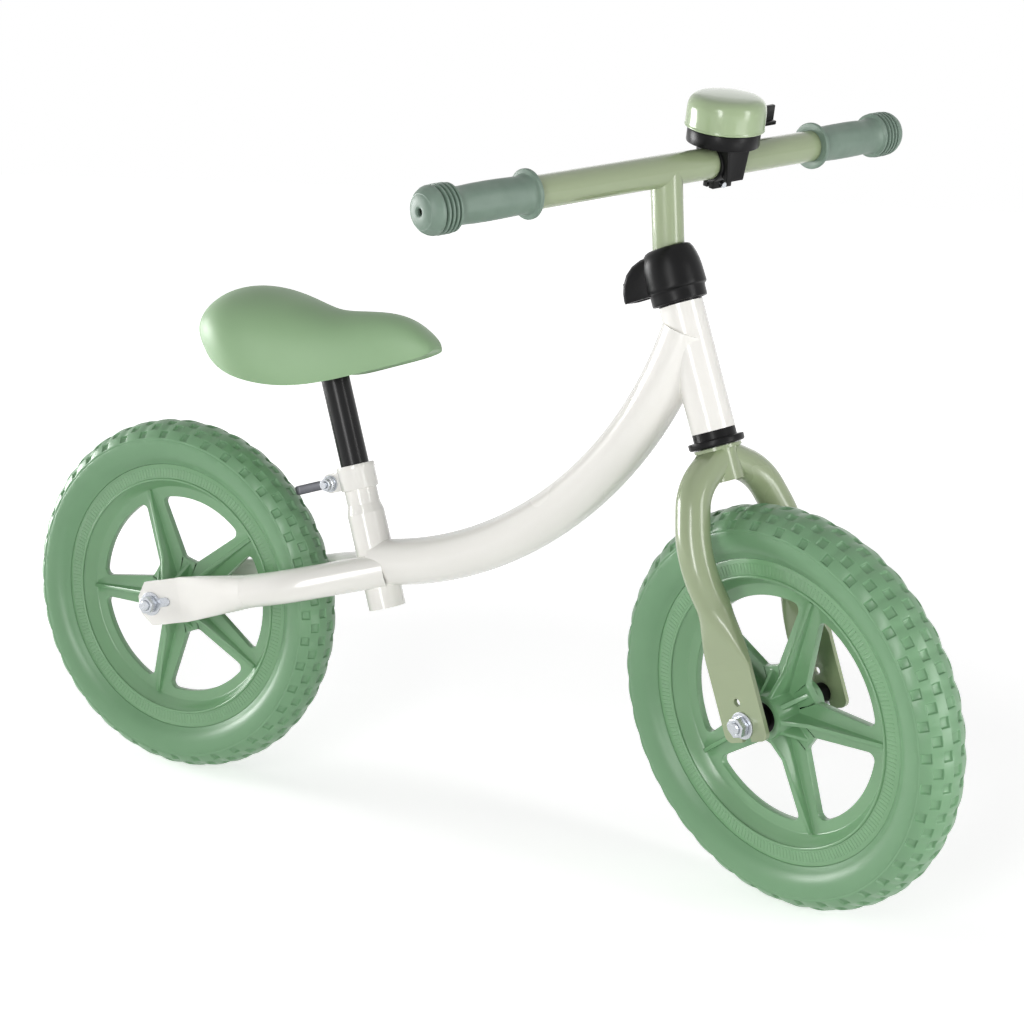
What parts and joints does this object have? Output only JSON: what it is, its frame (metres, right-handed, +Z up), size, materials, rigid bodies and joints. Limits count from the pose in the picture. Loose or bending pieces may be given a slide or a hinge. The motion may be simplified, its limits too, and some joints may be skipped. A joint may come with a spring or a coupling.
{
  "type": "balance bike",
  "caption": "Small pedal-free balance bike with a curved main tube, foam-tyred spoked wheels, padded saddle on a quick-release post, T-bar with grips and a thumb bell.",
  "frame": {"origin": "on the ground, below the middle of the bike's length, in the middle plane of its frame", "axes": "+X forward, +Y to the rider's left, +Z up"},
  "size_m": [0.8054, 0.4078, 0.5652],
  "materials": {
    "frame_paint": "gloss white paint",
    "fork_paint": "gloss sage green paint",
    "bell_paint": "gloss sage green paint",
    "tyre_foam": "matt green foam",
    "wheel_plastic": "satin green moulding",
    "grip_rubber": "satin grey green",
    "saddle_skin": "satin green foam skin",
    "post_paint": "gloss black",
    "black_plastic": "satin black",
    "lever_alloy": "dark grey",
    "zinc": "bright zinc"
  },
  "bodies": {
    "frame": {"head_tube": "frame_paint", "main_tube": "frame_paint", "seat_tube": "frame_paint", "stay_right": "frame_paint", "stay_left": "frame_paint", "seat_collar": "frame_paint", "qr_skewer": "zinc", "qr_nut": "zinc", "qr_washers": "zinc", "lower_cup": "black_plastic", "upper_cup": "black_plastic", "rear_axle": "zinc", "rear_spacers": "black_plastic", "rear_tab_washers": "zinc", "rear_nuts": "zinc"},
    "qr_lever": {"qr_lever": "lever_alloy", "qr_pin": "zinc"},
    "rear_wheel": {"rear_tyre": "tyre_foam", "rear_wheel": "wheel_plastic", "rear_bushings": "black_plastic"},
    "seat": {"seat_post": "post_paint", "saddle_base": "black_plastic", "saddle_cover": "saddle_skin", "saddle_screws": "zinc"},
    "fork": {"steerer": "fork_paint", "crown_race": "fork_paint", "fork_leg_right": "fork_paint", "fork_leg_left": "fork_paint", "stem_clamp": "zinc", "stem_clamp_bolt": "zinc", "clamp_cover": "black_plastic", "front_axle": "zinc", "front_spacers": "black_plastic", "front_tab_washers": "zinc", "front_nuts": "zinc"},
    "front_wheel": {"front_tyre": "tyre_foam", "front_wheel": "wheel_plastic", "front_bushings": "black_plastic"},
    "handlebar": {"stem": "fork_paint", "handlebar": "fork_paint", "grip_right": "grip_rubber", "grip_left": "grip_rubber", "bell_strap": "black_plastic", "bell_strap_screw": "zinc", "bell_base": "black_plastic", "bell_post": "zinc", "bell_dome": "bell_paint", "bell_lever_pin": "zinc", "bell_spring": "zinc"},
    "bell_lever": {"bell_lever": "black_plastic"},
    "bell_rotor": {"bell_rotor": "black_plastic", "bell_clappers": "zinc"}
  },
  "joints": [
    {"name": "steering", "type": "hinge", "parent": "frame", "child": "fork", "pos_m": [0.18408, 0, 0.375], "axis": [-0.3338, 0, 0.9426], "range_deg": [-53.2, 96.8]},
    {"name": "front_wheel_spin", "type": "hinge", "parent": "fork", "child": "front_wheel", "pos_m": [0.26553, 0, 0.145], "axis": [0.3501, 0.9285, 0.124], "continuous": true},
    {"name": "rear_wheel_spin", "type": "hinge", "parent": "frame", "child": "rear_wheel", "pos_m": [-0.25747, 0, 0.145], "axis": [0, 1, 0], "continuous": true},
    {"name": "handlebar_height", "type": "slide", "parent": "fork", "child": "handlebar", "axis": [-0.3338, 0, 0.9426], "range_m": [0, 0.04]},
    {"name": "seat_height", "type": "slide", "parent": "frame", "child": "seat", "axis": [-0.2957, 0, 0.9553], "range_m": [-0.02, 0.045]},
    {"name": "qr_lever_swing", "type": "hinge", "parent": "frame", "child": "qr_lever", "pos_m": [-0.11121, 0.0149, 0.25682], "axis": [0.2957, 0, -0.9553], "range_deg": [0, 110]},
    {"name": "bell_lever_press", "type": "hinge", "parent": "handlebar", "child": "bell_lever", "pos_m": [0.16573, 0.03984, 0.53439], "axis": [-0.1533, 0.2079, -0.9661], "range_deg": [0, 30], "stiffness_Nm_per_rad": 0.06, "springref_deg": -17.19},
    {"name": "bell_rotor_spin", "type": "hinge", "parent": "handlebar", "child": "bell_rotor", "pos_m": [0.17895, 0.03387, 0.53722], "axis": [0.1533, -0.2079, 0.9661], "range_deg": [-2, 62]}
  ],
  "couplings": [
    {"joint": "bell_rotor_spin", "follows": "bell_lever_press", "ratio": 2}
  ]
}
